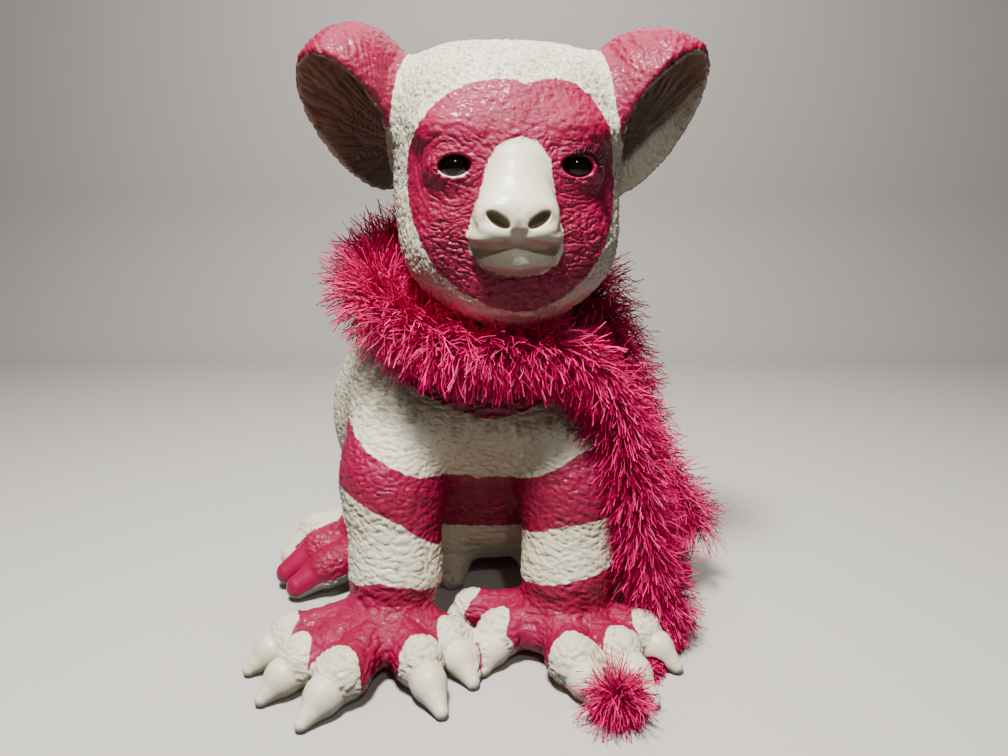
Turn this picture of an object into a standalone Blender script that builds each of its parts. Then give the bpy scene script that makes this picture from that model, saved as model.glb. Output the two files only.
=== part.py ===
"""A seated koala cast in resin, with glass eyes, one strip of false lash and a fringed garland round its neck.

Metres, +Z up. The koala faces -Y, and its own left side is at +X. The origin is on the floor.
The figure is modelled as a sculptor blocks in clay: rounded masses, each softened into the last by a blend width.
"""

import math

import bmesh
import bpy
import numpy as np
import openvdb
from mathutils import Euler, Matrix, Vector

# Height of the crown of the head. The figure's masses below are shares of it.
HEIGHT = 1.0
# Moves the finished pieces so that the origin is under the middle of the figure's box.
ORIGIN = (-0.0004, 0.028, 0)

# Sizes that are set by themselves.
EYE_DIAMETER = 0.052
EYE_CLEARANCE = 0.0008
LASH_LENGTH = 0.046
LASH_REACH = 0.016
LASH_THICKNESS = 0.0022
LASH_CLEARANCE = 0.0008
LASH_SEAT = 0.002
# How far outside the eye's own radius the lash's root runs: sideways, upwards and to the front.
LASH_ROOT = (0.0015, -0.0075, -0.0045)
LASH_START = -0.10
LASH_STEPS = 10
PILE_RADIUS = 0.045
PILE_CLEARANCE = 0.005
GROOVE_RADIUS = 0.016

# How finely each solid is sampled, and how many triangles it keeps.
FIGURE_CELL = 0.006
GARLAND_CELL = 0.006
FIGURE_TRIANGLES = 6400
GARLAND_TRIANGLES = 1700
EYE_MERIDIANS = 20
# Anything this close to the floor is flat on it.
FLOOR_CONTACT = 0.0015

RESIN_PINK = (0.62, 0.055, 0.135)
GLASS_BLACK = (0.012, 0.008, 0.007)
LASH_BLACK = (0.01, 0.008, 0.01)
FRINGE_PINK = (0.60, 0.008, 0.16)


def egg(points, centre, semi, turn=(0, 0, 0)):
    """Distance to an ellipsoid; turn is its rotation in degrees about X, Y and Z."""
    local = points - np.array(centre)
    if any(turn):
        matrix = np.array(Euler([math.radians(a) for a in turn]).to_matrix())
        local = local @ matrix
    scaled = local / np.array(semi)
    near = np.linalg.norm(scaled, axis=1)
    steep = np.linalg.norm(scaled / np.array(semi), axis=1)
    return near * (near - 1) / np.maximum(steep, 1e-9)


def limb(points, start, end, start_radius, end_radius):
    """Distance to a tapered limb with round ends."""
    start, end = np.array(start), np.array(end)
    axis = end - start
    along = np.clip((points - start) @ axis / (axis @ axis), 0, 1)
    off = np.linalg.norm(points - start - along[:, None] * axis, axis=1)
    return off - start_radius - along * (end_radius - start_radius)


def blend(a, b, width):
    """The union of two masses, softened where they meet."""
    share = np.maximum(width - np.abs(a - b), 0) / width
    return np.minimum(a, b) - share * share * width / 4


def carve(a, b, width):
    """Mass a with b taken out of it, softened along the edge."""
    return -blend(-a, b, width)


# Torso: each mass as centre, half sizes and blend width.
TORSO = [
    ((0, -0.06, 0.42), (0.180, 0.150, 0.150), 0.09),
    ((0, 0.09, 0.185), (0.23, 0.16, 0.150), 0.07),
    ((0, 0.23, 0.160), (0.24, 0.17, 0.172), 0.09),
]


def torso(p):
    body = egg(p, (0, 0.13, 0.340), (0.325, 0.255, 0.280))
    body = blend(body, limb(p, (0, 0.08, 0.42), (0.035, -0.03, 0.64), 0.200, 0.115), 0.12)
    for centre, semi, width in TORSO:
        body = blend(body, egg(p, centre, semi), width)
    return body


def arm(p, side):
    """A foreleg from the shoulder to the wrist; side is -1 for the figure's right."""
    shoulder = (side * 0.150, -0.07, 0.43)
    elbow = (side * 0.158, -0.16, 0.29)
    wrist = (side * 0.153, -0.205, 0.13)
    upper = limb(p, shoulder, elbow, 0.100, 0.082)
    return blend(upper, limb(p, elbow, wrist, 0.080, 0.082), 0.06)


# Forepaws: for each toe where it leaves the palm, where its fur ends, and its claw's tip, in plan.
TOE_BASE_Z, TOE_END_Z, CLAW_TIP_Z = 0.052, 0.043, 0.011
RIGHT_PAW = {
    "palm": (-0.165, -0.262),
    "toes": [
        ((-0.215, -0.235), (-0.322, -0.274), (-0.383, -0.320), 0.036),
        ((-0.195, -0.265), (-0.286, -0.340), (-0.338, -0.396), 0.038),
        ((-0.175, -0.285), (-0.214, -0.378), (-0.260, -0.452), 0.039),
        ((-0.145, -0.275), (-0.099, -0.344), (-0.056, -0.425), 0.037),
        ((-0.125, -0.245), (-0.056, -0.284), (-0.011, -0.354), 0.036),
    ],
}
LEFT_PAW = {
    "palm": (0.140, -0.235),
    "toes": [
        ((0.185, -0.215), (0.273, -0.262), (0.328, -0.313), 0.036),
        ((0.165, -0.245), (0.225, -0.320), (0.272, -0.399), 0.038),
        ((0.140, -0.255), (0.151, -0.338), (0.189, -0.412), 0.039),
        ((0.105, -0.235), (0.036, -0.262), (0.008, -0.318), 0.037),
        ((0.090, -0.210), (-0.016, -0.186), (-0.062, -0.205), 0.034),
    ],
}
CLAW_BASE, CLAW_MIDDLE, CLAW_TIP, CLAW_FLATNESS = 0.033, 0.030, 0.012, 0.06


def toe(p, base, end, radius):
    finger = limb(p, (*base, TOE_BASE_Z), (*end, TOE_END_Z), 0.040, radius * 0.96)
    knob = egg(p, (*end, TOE_END_Z + 0.001), (radius * 1.10, radius * 1.10, radius * 1.04))
    return blend(finger, knob, 0.012)


def claw(p, end, tip, radius):
    """A blunt claw that leaves the fur half way up the toe's end and comes down to the floor."""
    size = radius / 0.037
    heel = Vector((*end, TOE_END_Z - 0.004))
    point = Vector((*tip, CLAW_TIP_Z))
    aside = (point - heel).cross(Vector((0, 0, 1))).normalized()
    narrow = p + ((p - np.array(heel)) @ np.array(aside))[:, None] * np.array(aside) * CLAW_FLATNESS
    knuckle = heel.lerp(point, 0.50) + Vector((0, 0, 0.005))
    back = limb(narrow, heel, knuckle, CLAW_BASE * size, CLAW_MIDDLE * size)
    return blend(back, limb(narrow, knuckle, point, CLAW_MIDDLE * size, CLAW_TIP), 0.004)


def forepaw(p, paw):
    x, y = paw["palm"]
    hand = egg(p, (x, y, 0.046), (0.085, 0.072, 0.050))
    for base, end, tip, radius in paw["toes"]:
        hand = blend(hand, toe(p, base, end, radius), 0.018)
    for base, end, tip, radius in paw["toes"]:
        hand = blend(hand, claw(p, end, tip, radius), 0.003)
    return hand


# Hind feet, on the figure's left; the right foot mirrors it. For each toe: start, end, claw tip and radius.
HIND_TOES = [
    ((0.27, 0.100, 0.085), (0.362, 0.058, 0.084), (0.410, 0.025, 0.045), 0.040),
    ((0.26, 0.055, 0.078), (0.345, 0.006, 0.068), (0.404, -0.027, 0.032), 0.039),
    ((0.24, 0.015, 0.066), (0.318, -0.044, 0.052), (0.370, -0.075, 0.027), 0.040),
]
HIND_CLAW_BASE, HIND_CLAW_TIP = 0.037, 0.024
# The inner toe of each hind foot, how far out it stands.
INNER_TOES = {-1: 0.070, 1: 0.108}


def hind_leg(p, side):
    mirrored = p * np.array([side, 1, 1])
    leg = egg(mirrored, (0.185, 0.13, 0.155), (0.115, 0.165, 0.150))
    leg = blend(leg, limb(mirrored, (0.15, 0.11, 0.09), (0.25, 0.05, 0.075), 0.080, 0.066), 0.06)
    for start, end, tip, radius in HIND_TOES:
        leg = blend(leg, limb(mirrored, start, end, 0.046, radius), 0.010)
    for start, end, tip, radius in HIND_TOES:
        leg = blend(leg, limb(mirrored, end, tip, HIND_CLAW_BASE, HIND_CLAW_TIP), 0.006)
    x = INNER_TOES[side]
    instep = limb(mirrored, (x + 0.03, 0.06, 0.140), (x, -0.010, 0.112), 0.045, 0.032)
    inner_toe = limb(mirrored, (x, -0.010, 0.112), (x - 0.003, -0.030, 0.032), 0.032, 0.030)
    return blend(leg, blend(instep, inner_toe, 0.02), 0.02)


# Head. It is turned a little to the figure's left.
HEAD = Vector((0.045, -0.15, 0.795))
HEAD_TURN = 5.0


def head_point(right, forward, up):
    """A point in the head's own directions, from its centre."""
    return HEAD + Matrix.Rotation(math.radians(HEAD_TURN), 3, "Z") @ Vector((right, -forward, up))


def head_egg(p, middle, semi, roll=0):
    """An ellipsoid in the head's own directions; roll leans it about the way the face looks."""
    return egg(p, head_point(*middle), semi, (0, roll, HEAD_TURN))


# Masses added to the skull, on both sides where the first number isn't 0: middle, half sizes, blend width.
SKULL = [
    ((0.092, -0.010, 0.112), (0.090, 0.120, 0.099), 0.05),
    ((0.078, 0.060, -0.095), (0.088, 0.085, 0.090), 0.05),
    ((0.0, 0.085, -0.160), (0.085, 0.075, 0.058), 0.05),
    ((0.082, 0.110, 0.072), (0.060, 0.040, 0.034), 0.03),
]
EYE = (0.090, 0.126, 0.022)
LID = (0.042, 0.027, 0.031)
EYE_SLIT = (0.0245, 0.050, 0.0155)


def skull(p):
    head = head_egg(p, (0, 0, 0), (0.186, 0.165, 0.222))
    for (right, forward, up), semi, width in SKULL:
        for side in (-1, 1) if right else (1,):
            head = blend(head, head_egg(p, (side * right, forward, up), semi), width)
    for side in (-1, 1):
        right, forward, up = side * EYE[0], EYE[1], EYE[2]
        head = blend(head, head_egg(p, (right, forward + 0.001, up), LID, side * 6), 0.022)
        head = carve(head, head_egg(p, (right, forward + 0.035, up), EYE_SLIT, side * 6), 0.004)
    return head


# The nose pad lies across the end of the nose. Each nostril is a slit whose outer end is higher, with a
# rolled rim.
PAD = (0.024, 0.174, -0.056)
PAD_RADIUS = 0.034
NOSTRIL = (0.029, -0.0545)
NOSTRIL_HALF = (0.0185, 0.024, 0.0082)
RIM_HALF = (0.0225, 0.0175)
RIM_RADIUS = 0.0075
# The line of the mouth, as right, forward and up.
MOUTH_RADIUS = 0.0095
MOUTH = [(-0.066, 0.152, -0.095), (-0.057, 0.188, -0.098), (-0.032, 0.210, -0.099), (-0.002, 0.213, -0.090)]
MOUTH += [(0.028, 0.210, -0.099), (0.053, 0.188, -0.098), (0.062, 0.152, -0.095)]


def tube(p, route, radius):
    """Distance to a tube along points in the head's own directions."""
    places = [head_point(*point) for point in route]
    return np.minimum.reduce([limb(p, a, b, radius, radius) for a, b in zip(places, places[1:])])


def nostril_rim(side):
    """Points over the top of a nostril from its inner end to its outer end, on the pad."""
    route = []
    for step in range(9):
        turn = math.radians(205 - 30 * step)
        right, up = NOSTRIL[0] + RIM_HALF[0] * math.cos(turn), NOSTRIL[1] + RIM_HALF[1] * math.sin(turn)
        off = math.hypot(max(right - PAD[0], 0), up - PAD[2])
        route.append((side * right - 0.002, PAD[1] - 0.002 + math.sqrt(PAD_RADIUS**2 - off * off), up))
    return route


def muzzle(p):
    """The bare nose, wide at the rolled nostrils, over the two lobes of the upper lip and the cup of the lower."""
    nose = limb(p, head_point(-0.026, *PAD[1:]), head_point(0.022, *PAD[1:]), PAD_RADIUS, PAD_RADIUS)
    for side in (-1, 1):
        top = head_point(side * 0.013 + 0.003, 0.135, 0.018)
        tip = head_point(side * 0.019 - 0.001, 0.166, -0.042)
        nose = blend(nose, limb(p, top, tip, 0.034, 0.036), 0.028)
    for side in (-1, 1):
        cheek = head_egg(p, (side * 0.032 - 0.002, 0.164, -0.078), (0.037, 0.046, 0.018), side * 3)
        nose = blend(nose, cheek, 0.014)
        nose = blend(nose, tube(p, nostril_rim(side), RIM_RADIUS), 0.006)
        lobe = head_egg(p, (side * 0.030 - 0.002, 0.194, -0.072), (0.022, 0.019, 0.010), side * -14)
        nose = blend(nose, lobe, 0.008)
    nose = blend(nose, head_egg(p, (-0.002, 0.139, -0.110), (0.063, 0.054, 0.029)), 0.004)
    nose = carve(nose, tube(p, MOUTH, MOUTH_RADIUS), 0.006)
    nose = carve(nose, tube(p, [(-0.002, 0.224, -0.072), (-0.002, 0.216, -0.096)], 0.0055), 0.008)
    for side in (-1, 1):
        middle = (side * NOSTRIL[0] - 0.002, PAD[1] + PAD_RADIUS, NOSTRIL[1])
        nose = carve(nose, head_egg(p, middle, NOSTRIL_HALF, side * -32), 0.004)
    return nose


# Ears, each a bowl cut open: its middle from the head's centre, the way it opens, its long direction, half
# sizes and how far past its middle it is cut.
EARS = [
    ((-0.243, 0.003, 0.108), (-0.426, -0.554, -0.715), (0.176, 0.724, -0.667), (0.143, 0.090, 0.135), 0.026),
    ((0.227, 0.004, 0.108), (0.637, -0.521, -0.568), (-0.400, 0.407, -0.821), (0.133, 0.105, 0.135), 0.027),
]
EAR_WALL = 0.015
# The fleshy roll along each ear's upper edge, from the head outwards: two points from the head's centre and
# two radii.
EAR_ROLLS = [
    ((-0.155, -0.005, 0.138), (-0.308, -0.036, 0.184), 0.056, 0.014),
    ((0.145, -0.005, 0.138), (0.290, -0.036, 0.196), 0.056, 0.014),
]
# The flat undercut that ends each roll over the ear's hollow: a point of it from the head's centre, and its
# way up.
EAR_UNDERCUTS = [
    ((-0.242, -0.050, 0.165), (0.614, -0.024, 0.789)),
    ((0.236, -0.050, 0.159), (-0.644, -0.008, 0.765)),
]


def ear(p, middle, opens, long, half, cut):
    opens, long = Vector(opens).normalized(), Vector(long)
    long = (long - opens * long.dot(opens)).normalized()
    axes = np.array((long, opens.cross(long), opens))
    local = (p - np.array(HEAD + Vector(middle))) @ axes.T
    bowl = carve(egg(local, (0, 0, 0), half), cut - local[:, 2], 0.012)
    return carve(bowl, egg(local, (0, 0, 0), [h - EAR_WALL for h in half]), 0.008)


def above_undercut(p, index):
    point, way = EAR_UNDERCUTS[index]
    return (p - np.array(HEAD + Vector(point))) @ np.array(Vector(way).normalized())


def ear_roll(p, index):
    inner, outer, inner_radius, outer_radius = EAR_ROLLS[index]
    roll = limb(p, HEAD + Vector(inner), HEAD + Vector(outer), inner_radius, outer_radius)
    return carve(roll, above_undercut(p, index), 0.008)


# The garland's middle line: over the left hind foot, up the left shoulder, round the neck from behind, down the
# front of the left foreleg to the floor and under two claws of the left forepaw. The fourth number is how full
# the pile is there.
GARLAND = [
    (0.425, -0.035, 0.135, 1), (0.390, -0.015, 0.175, 1), (0.345, -0.015, 0.250, 1), (0.305, -0.015, 0.340, 1),
    (0.280, -0.015, 0.430, 1), (0.258, -0.005, 0.510, 1), (0.222, 0.020, 0.590, 1), (0.155, 0.075, 0.650, 1),
    (0.030, 0.120, 0.675, 1), (-0.095, 0.080, 0.685, 1), (-0.172, 0.000, 0.660, 1), (-0.190, -0.100, 0.622, 1),
    (-0.140, -0.195, 0.580, 1), (-0.050, -0.250, 0.540, 1), (0.040, -0.262, 0.535, 1), (0.122, -0.240, 0.532, 1),
    (0.190, -0.215, 0.497, 1), (0.236, -0.205, 0.422, 1), (0.256, -0.205, 0.320, 1), (0.277, -0.208, 0.220, 1),
    (0.305, -0.208, 0.120, 1), (0.330, -0.212, 0.055, 0.9), (0.334, -0.250, 0.018, 0.30),
    (0.300, -0.300, 0.010, 0.28), (0.250, -0.365, 0.010, 0.28), (0.228, -0.400, 0.018, 0.35),
    (0.208, -0.430, 0.040, 0.9),
]
# The part of it that lies in the groove under the claws.
GROOVE = (22, 25)


def pile(p):
    """Distance to the garland's pile along its whole middle line."""
    lengths = []
    for (*start, start_share), (*end, end_share) in zip(GARLAND, GARLAND[1:]):
        lengths.append(limb(p, start, end, PILE_RADIUS * start_share, PILE_RADIUS * end_share))
    return np.minimum.reduce(lengths)


def groove(p):
    """Distance to the channel the garland takes under the claws."""
    first, last = GROOVE
    lengths = []
    for start, end in zip(GARLAND[first:last], GARLAND[first + 1 :]):
        lengths.append(limb(p, start[:3], end[:3], GROOVE_RADIUS, GROOVE_RADIUS))
    return np.minimum.reduce(lengths)


def figure_form(points):
    """Signed distance to the cast figure, without its eye sockets."""
    p = points / HEIGHT
    body = torso(p)
    for side in (-1, 1):
        body = blend(body, hind_leg(p, side), 0.05)
        body = blend(body, arm(p, side), 0.045)
    for paw in (RIGHT_PAW, LEFT_PAW):
        body = blend(body, forepaw(p, paw), 0.03)
    head = skull(p)
    for index, values in enumerate(EARS):
        head = blend(head, blend(ear(p, *values), ear_roll(p, index), 0.02), 0.03)
    head = blend(head, muzzle(p), 0.010)
    body = blend(body, head, 0.035)
    body = carve(body, groove(p), 0.004)
    return np.maximum(body, -p[:, 2]) * HEIGHT


def garland_form(points):
    """Signed distance to the garland's pile, pressed in where it touches the figure and the floor."""
    full = pile(points / HEIGHT) * HEIGHT
    return np.maximum.reduce([full, PILE_CLEARANCE - figure_form(points), -points[:, 2]])


def mesh_from(name, form, low, high, cell):
    """The closed mesh where form is zero. Blocks far from the surface are only sampled once each."""
    block = 4
    counts = [block * math.ceil((b - a) / cell / block) for a, b in zip(low, high)]
    grid = np.empty(counts, np.float32)
    steps = [np.arange(0, n, block) for n in counts]
    corners = np.stack(np.meshgrid(*steps, indexing="ij"), -1).reshape(-1, 3)
    middle = form(np.array(low) + (corners + block / 2 - 0.5) * cell)
    near = np.abs(middle) < block * cell * 1.6
    inner = np.stack(np.meshgrid(*[np.arange(block)] * 3, indexing="ij"), -1).reshape(-1, 3)
    for corner, value in zip(corners[~near], middle[~near]):
        x, y, z = corner
        grid[x : x + block, y : y + block, z : z + block] = value
    fine = (corners[near][:, None] + inner).reshape(-1, 3)
    grid[tuple(fine.T)] = form(np.array(low) + fine * cell)
    volume = openvdb.FloatGrid(1.0)
    volume.copyFromArray(grid)
    points, quads = volume.convertToQuads()
    mesh = bpy.data.meshes.new(name)
    mesh.from_pydata(np.array(low) + points * cell, [], quads.tolist())
    mesh.validate()
    return mesh


def thinned(name, form, low, high, cell, triangles, finish):
    """The form as an object of about this many triangles, flat where it stands on the floor."""
    mesh = mesh_from(name, form, low, high, cell)
    piece = bpy.data.objects.new(name, mesh)
    mesh.materials.append(finish)
    bpy.context.scene.collection.objects.link(piece)
    thin = piece.modifiers.new("thin", "DECIMATE")
    thin.ratio = triangles / (2 * len(mesh.polygons))
    thin.use_collapse_triangulate = True
    settled = bpy.data.meshes.new_from_object(piece.evaluated_get(bpy.context.evaluated_depsgraph_get()))
    piece.modifiers.clear()
    piece.data = settled
    for vertex in settled.vertices:
        if vertex.co.z < FLOOR_CONTACT:
            vertex.co.z = 0
    bpy.data.meshes.remove(mesh)
    settled.name = name
    settled.shade_smooth()
    return piece


def eye_mesh(name, side, radius):
    """A ball in the socket on this side, its pole to the front."""
    made = bmesh.new()
    bmesh.ops.create_uvsphere(made, u_segments=EYE_MERIDIANS, v_segments=EYE_MERIDIANS // 2, radius=radius)
    turn = Matrix.Rotation(math.radians(HEAD_TURN), 4, "Z") @ Matrix.Rotation(math.pi / 2, 4, "X")
    middle = head_point(side * EYE[0], EYE[1], EYE[2]) * HEIGHT
    bmesh.ops.transform(made, matrix=Matrix.Translation(middle) @ turn, verts=made.verts)
    mesh = bpy.data.meshes.new(name)
    made.to_mesh(mesh)
    made.free()
    mesh.shade_smooth()
    return mesh


def lash_mesh(name, grow):
    """A bent strip along the left eye's upper lid; grow thickens it all round for the slot it sits in."""
    wide, high, depth = [EYE_DIAMETER / 2 + n for n in LASH_ROOT]
    spread = LASH_LENGTH / math.sqrt((wide * wide + high * high) / 2)
    ends = grow / wide
    axes = Matrix.Rotation(math.radians(HEAD_TURN), 4, "Z")
    axes.translation = head_point(*EYE) * HEIGHT
    made = bmesh.new()
    rows = []
    for step in range(LASH_STEPS + 1):
        turn = LASH_START - ends + (spread + 2 * ends) * step / LASH_STEPS
        out = Vector((math.cos(turn), 0, math.sin(turn)))
        root = Vector((out.x * wide, -depth, out.z * high))
        lean = (out + Vector((0, -1, 0))).normalized()
        across = (out + Vector((0, 1, 0))).normalized() * (LASH_THICKNESS / 2 + grow)
        inner = root - lean * grow
        outer = root + lean * (LASH_REACH + LASH_SEAT + grow)
        rows.append([made.verts.new(v) for v in (inner - across, outer - across, outer + across, inner + across)])
    for here, there in zip(rows, rows[1:]):
        for i in range(4):
            made.faces.new((here[i], here[(i + 1) % 4], there[(i + 1) % 4], there[i]))
    made.faces.new(rows[0][::-1])
    made.faces.new(rows[-1])
    bmesh.ops.recalc_face_normals(made, faces=made.faces)
    bmesh.ops.transform(made, matrix=axes, verts=made.verts)
    mesh = bpy.data.meshes.new(name)
    made.to_mesh(mesh)
    made.free()
    return mesh


def cut(piece, mesh):
    """Takes the mesh's solid out of the piece."""
    cutter = bpy.data.objects.new("cutter", mesh)
    bpy.context.scene.collection.objects.link(cutter)
    boolean = piece.modifiers.new("cut", "BOOLEAN")
    boolean.operation = "DIFFERENCE"
    boolean.solver = "EXACT"
    boolean.object = cutter
    settled = bpy.data.meshes.new_from_object(piece.evaluated_get(bpy.context.evaluated_depsgraph_get()))
    piece.modifiers.clear()
    piece.data = settled
    bpy.data.objects.remove(cutter)


def material(name, colour, roughness, metallic=0.0):
    made = bpy.data.materials.new(name)
    made.use_nodes = True
    shader = made.node_tree.nodes["Principled BSDF"]
    shader.inputs["Base Color"].default_value = (*colour, 1)
    shader.inputs["Roughness"].default_value = roughness
    shader.inputs["Metallic"].default_value = metallic
    return made


def place(name, mesh, finish):
    piece = bpy.data.objects.new(name, mesh)
    mesh.materials.append(finish)
    bpy.context.scene.collection.objects.link(piece)
    return piece


def main():
    for old in list(bpy.data.objects):
        bpy.data.objects.remove(old)
    resin = material("gloss_resin", RESIN_PINK, 0.3)
    glass = material("dark_glass", GLASS_BLACK, 0.05)
    low = [-0.52 * HEIGHT, -0.50 * HEIGHT, -0.03 * HEIGHT]
    high = [0.52 * HEIGHT, 0.45 * HEIGHT, 1.12 * HEIGHT]
    koala = thinned("koala", figure_form, low, high, FIGURE_CELL, FIGURE_TRIANGLES, resin)
    for side, name in ((-1, "eye_right"), (1, "eye_left")):
        cut(koala, eye_mesh("socket", side, EYE_DIAMETER / 2 + EYE_CLEARANCE))
        place(name, eye_mesh(name, side, EYE_DIAMETER / 2), glass)
    cut(koala, lash_mesh("slot", LASH_CLEARANCE))
    place("eyelash", lash_mesh("eyelash", 0), material("black_fibre", LASH_BLACK, 0.5))
    fibre = material("fringe_fibre", FRINGE_PINK, 0.45)
    thinned("garland", garland_form, low, high, GARLAND_CELL, GARLAND_TRIANGLES, fibre)
    for piece in bpy.data.objects:
        piece.data.transform(Matrix.Translation(ORIGIN))


main()
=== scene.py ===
"""The look of the seated koala: its carved and painted skin, glass eyes, false lash and fringed garland.

The form's masses and the garland's route are the CAD's own, in metres. The koala faces -Y.
"""

import math

import bmesh
import bpy
import numpy as np
import openvdb
from mathutils import Euler, Matrix, Vector


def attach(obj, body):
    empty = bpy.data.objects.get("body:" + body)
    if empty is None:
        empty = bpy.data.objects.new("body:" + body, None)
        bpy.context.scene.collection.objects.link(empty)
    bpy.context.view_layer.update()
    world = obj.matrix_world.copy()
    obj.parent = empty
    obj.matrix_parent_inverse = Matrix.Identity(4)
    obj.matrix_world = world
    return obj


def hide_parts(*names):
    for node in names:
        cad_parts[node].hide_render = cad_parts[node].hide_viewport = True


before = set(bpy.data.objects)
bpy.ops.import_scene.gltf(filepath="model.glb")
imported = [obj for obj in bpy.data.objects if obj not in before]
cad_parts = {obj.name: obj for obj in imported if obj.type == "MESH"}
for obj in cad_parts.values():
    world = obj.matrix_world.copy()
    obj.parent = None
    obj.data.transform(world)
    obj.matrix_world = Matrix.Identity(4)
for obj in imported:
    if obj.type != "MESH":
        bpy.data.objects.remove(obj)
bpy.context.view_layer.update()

HEIGHT = 1.0
ORIGIN = (-0.0004, 0.028, 0)
CAMERA_PITCH = 12.5
SENSOR, LENS_PIXELS, PICTURE_PIXELS = 36, 711, 1008


def placed(name, data):
    """A new object in the scene."""
    made = bpy.data.objects.new(name, data)
    bpy.context.scene.collection.objects.link(made)
    return made


# The camera stands where the photograph's did: 0.74 m up, pitched 12.5 degrees down, with a phone's lens.
camera = placed("camera", bpy.data.cameras.new("camera"))
camera.location = Vector((0.04, -1.37, 0.74)) + Vector(ORIGIN)
camera.rotation_euler = (math.radians(90 - CAMERA_PITCH), 0, 0)
camera.data.sensor_width = SENSOR
camera.data.lens = SENSOR * LENS_PIXELS / PICTURE_PIXELS
bpy.context.scene.camera = camera


# The garland's middle line: over the left hind foot, up the left shoulder, round the neck from behind, down
# the front of the left foreleg to the floor and under two claws of the left forepaw. The fourth number is how
# full the fringe is there.
GARLAND = [
    (0.425, -0.035, 0.135, 1), (0.390, -0.015, 0.175, 1), (0.345, -0.015, 0.250, 1),
    (0.305, -0.015, 0.340, 1), (0.280, -0.015, 0.430, 1), (0.258, -0.005, 0.510, 1),
    (0.222, 0.020, 0.590, 1), (0.155, 0.075, 0.650, 1), (0.030, 0.120, 0.675, 1),
    (-0.095, 0.080, 0.685, 1), (-0.172, 0.000, 0.660, 1), (-0.190, -0.100, 0.622, 1),
    (-0.140, -0.195, 0.580, 1), (-0.050, -0.250, 0.540, 1), (0.040, -0.262, 0.535, 1),
    (0.122, -0.240, 0.532, 1), (0.190, -0.215, 0.497, 1), (0.236, -0.205, 0.422, 1),
    (0.256, -0.205, 0.320, 1), (0.277, -0.208, 0.220, 1), (0.305, -0.208, 0.120, 1),
    (0.330, -0.212, 0.055, 0.9), (0.334, -0.250, 0.018, 0.30), (0.300, -0.300, 0.010, 0.28),
    (0.250, -0.365, 0.010, 0.28), (0.228, -0.400, 0.018, 0.35), (0.208, -0.430, 0.040, 0.9),
]
# The part of it that lies in the groove under the claws.
GROOVE = (22, 25)


# The garland's cord: one smooth open curve along that line. The fringe on it is made further down.
CORE_DIAMETER = 0.012
curve = bpy.data.curves.new("garland_cord", "CURVE")
curve.dimensions = "3D"
curve.bevel_depth = CORE_DIAMETER / 2
curve.bevel_resolution = 2
curve.use_fill_caps = True
line = curve.splines.new("BEZIER")
line.bezier_points.add(len(GARLAND) - 1)
for knot, (*place, share) in zip(line.bezier_points, GARLAND):
    knot.co = Vector(place) * HEIGHT + Vector(ORIGIN)
    knot.handle_left_type = knot.handle_right_type = "AUTO"
garland_cord = placed("garland_cord", curve)


def add(tree, kind, inputs=None, **settings):
    """A node with its settings, its inputs set to values or linked to the sockets given."""
    made = tree.nodes.new(kind)
    for name, value in settings.items():
        setattr(made, name, value)
    for name, value in (inputs or {}).items():
        if isinstance(value, bpy.types.NodeSocket):
            tree.links.new(value, made.inputs[name])
        else:
            made.inputs[name].default_value = value
    return made


def linear(code):
    """An sRGB hex colour as the linear colour that a shader takes."""
    levels = [int(code[i : i + 2], 16) / 255 for i in (1, 3, 5)]
    return (*[n / 12.92 if n <= 0.04045 else ((n + 0.055) / 1.055) ** 2.4 for n in levels], 1)


def finish(name, inputs):
    """A new material with these values on its shader, and its tree and shader to add to."""
    made = bpy.data.materials.new(name)
    made.use_nodes = True
    shader = made.node_tree.nodes["Principled BSDF"]
    for key, value in inputs.items():
        shader.inputs[key].default_value = value
    return made, made.node_tree, shader


def mixed(tree, share, low, high):
    """A colour between two, each a hex code's colour or a socket."""
    return add(tree, "ShaderNodeMix", {0: share, 6: low, 7: high}, data_type="RGBA").outputs[2]


def ranged(tree, value, low, high, low_out=0.0, high_out=1.0):
    """A value eased from one range to another."""
    inputs = {"Value": value, "From Min": low, "From Max": high, "To Min": low_out, "To Max": high_out}
    return add(tree, "ShaderNodeMapRange", inputs, interpolation_type="SMOOTHSTEP").outputs["Result"]


def summed(tree, first, second, operation="ADD"):
    return add(tree, "ShaderNodeMath", {0: first, 1: second}, operation=operation).outputs[0]


def carried(tree, name):
    """A value that the mesh carries at its points."""
    return add(tree, "ShaderNodeAttribute", attribute_name=name).outputs["Fac"]


def speckled(tree, coords, scale, detail, roughness=0.5):
    """Blender's noise, with about this many bumps to a metre."""
    inputs = {"Vector": coords, "Scale": scale, "Detail": detail, "Roughness": roughness}
    return add(tree, "ShaderNodeTexNoise", inputs).outputs["Fac"]


def piece_from(name, mesh, node):
    """A finished object on the koala that stands for a CAD node."""
    made = placed(name, mesh)
    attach(made, "root")
    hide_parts(node)
    return made


GROOVE_RADIUS = 0.016


def egg(points, centre, semi, turn=(0, 0, 0)):
    """Distance to an ellipsoid; turn is its rotation in degrees about X, Y and Z."""
    local = points - np.array(centre)
    if any(turn):
        matrix = np.array(Euler([math.radians(a) for a in turn]).to_matrix())
        local = local @ matrix
    scaled = local / np.array(semi)
    near = np.linalg.norm(scaled, axis=1)
    steep = np.linalg.norm(scaled / np.array(semi), axis=1)
    return near * (near - 1) / np.maximum(steep, 1e-9)


def limb(points, start, end, start_radius, end_radius):
    """Distance to a tapered limb with round ends."""
    start, end = np.array(start), np.array(end)
    axis = end - start
    along = np.clip((points - start) @ axis / (axis @ axis), 0, 1)
    off = np.linalg.norm(points - start - along[:, None] * axis, axis=1)
    return off - start_radius - along * (end_radius - start_radius)


def blend(a, b, width):
    """The union of two masses, softened where they meet."""
    share = np.maximum(width - np.abs(a - b), 0) / width
    return np.minimum(a, b) - share * share * width / 4


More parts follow.
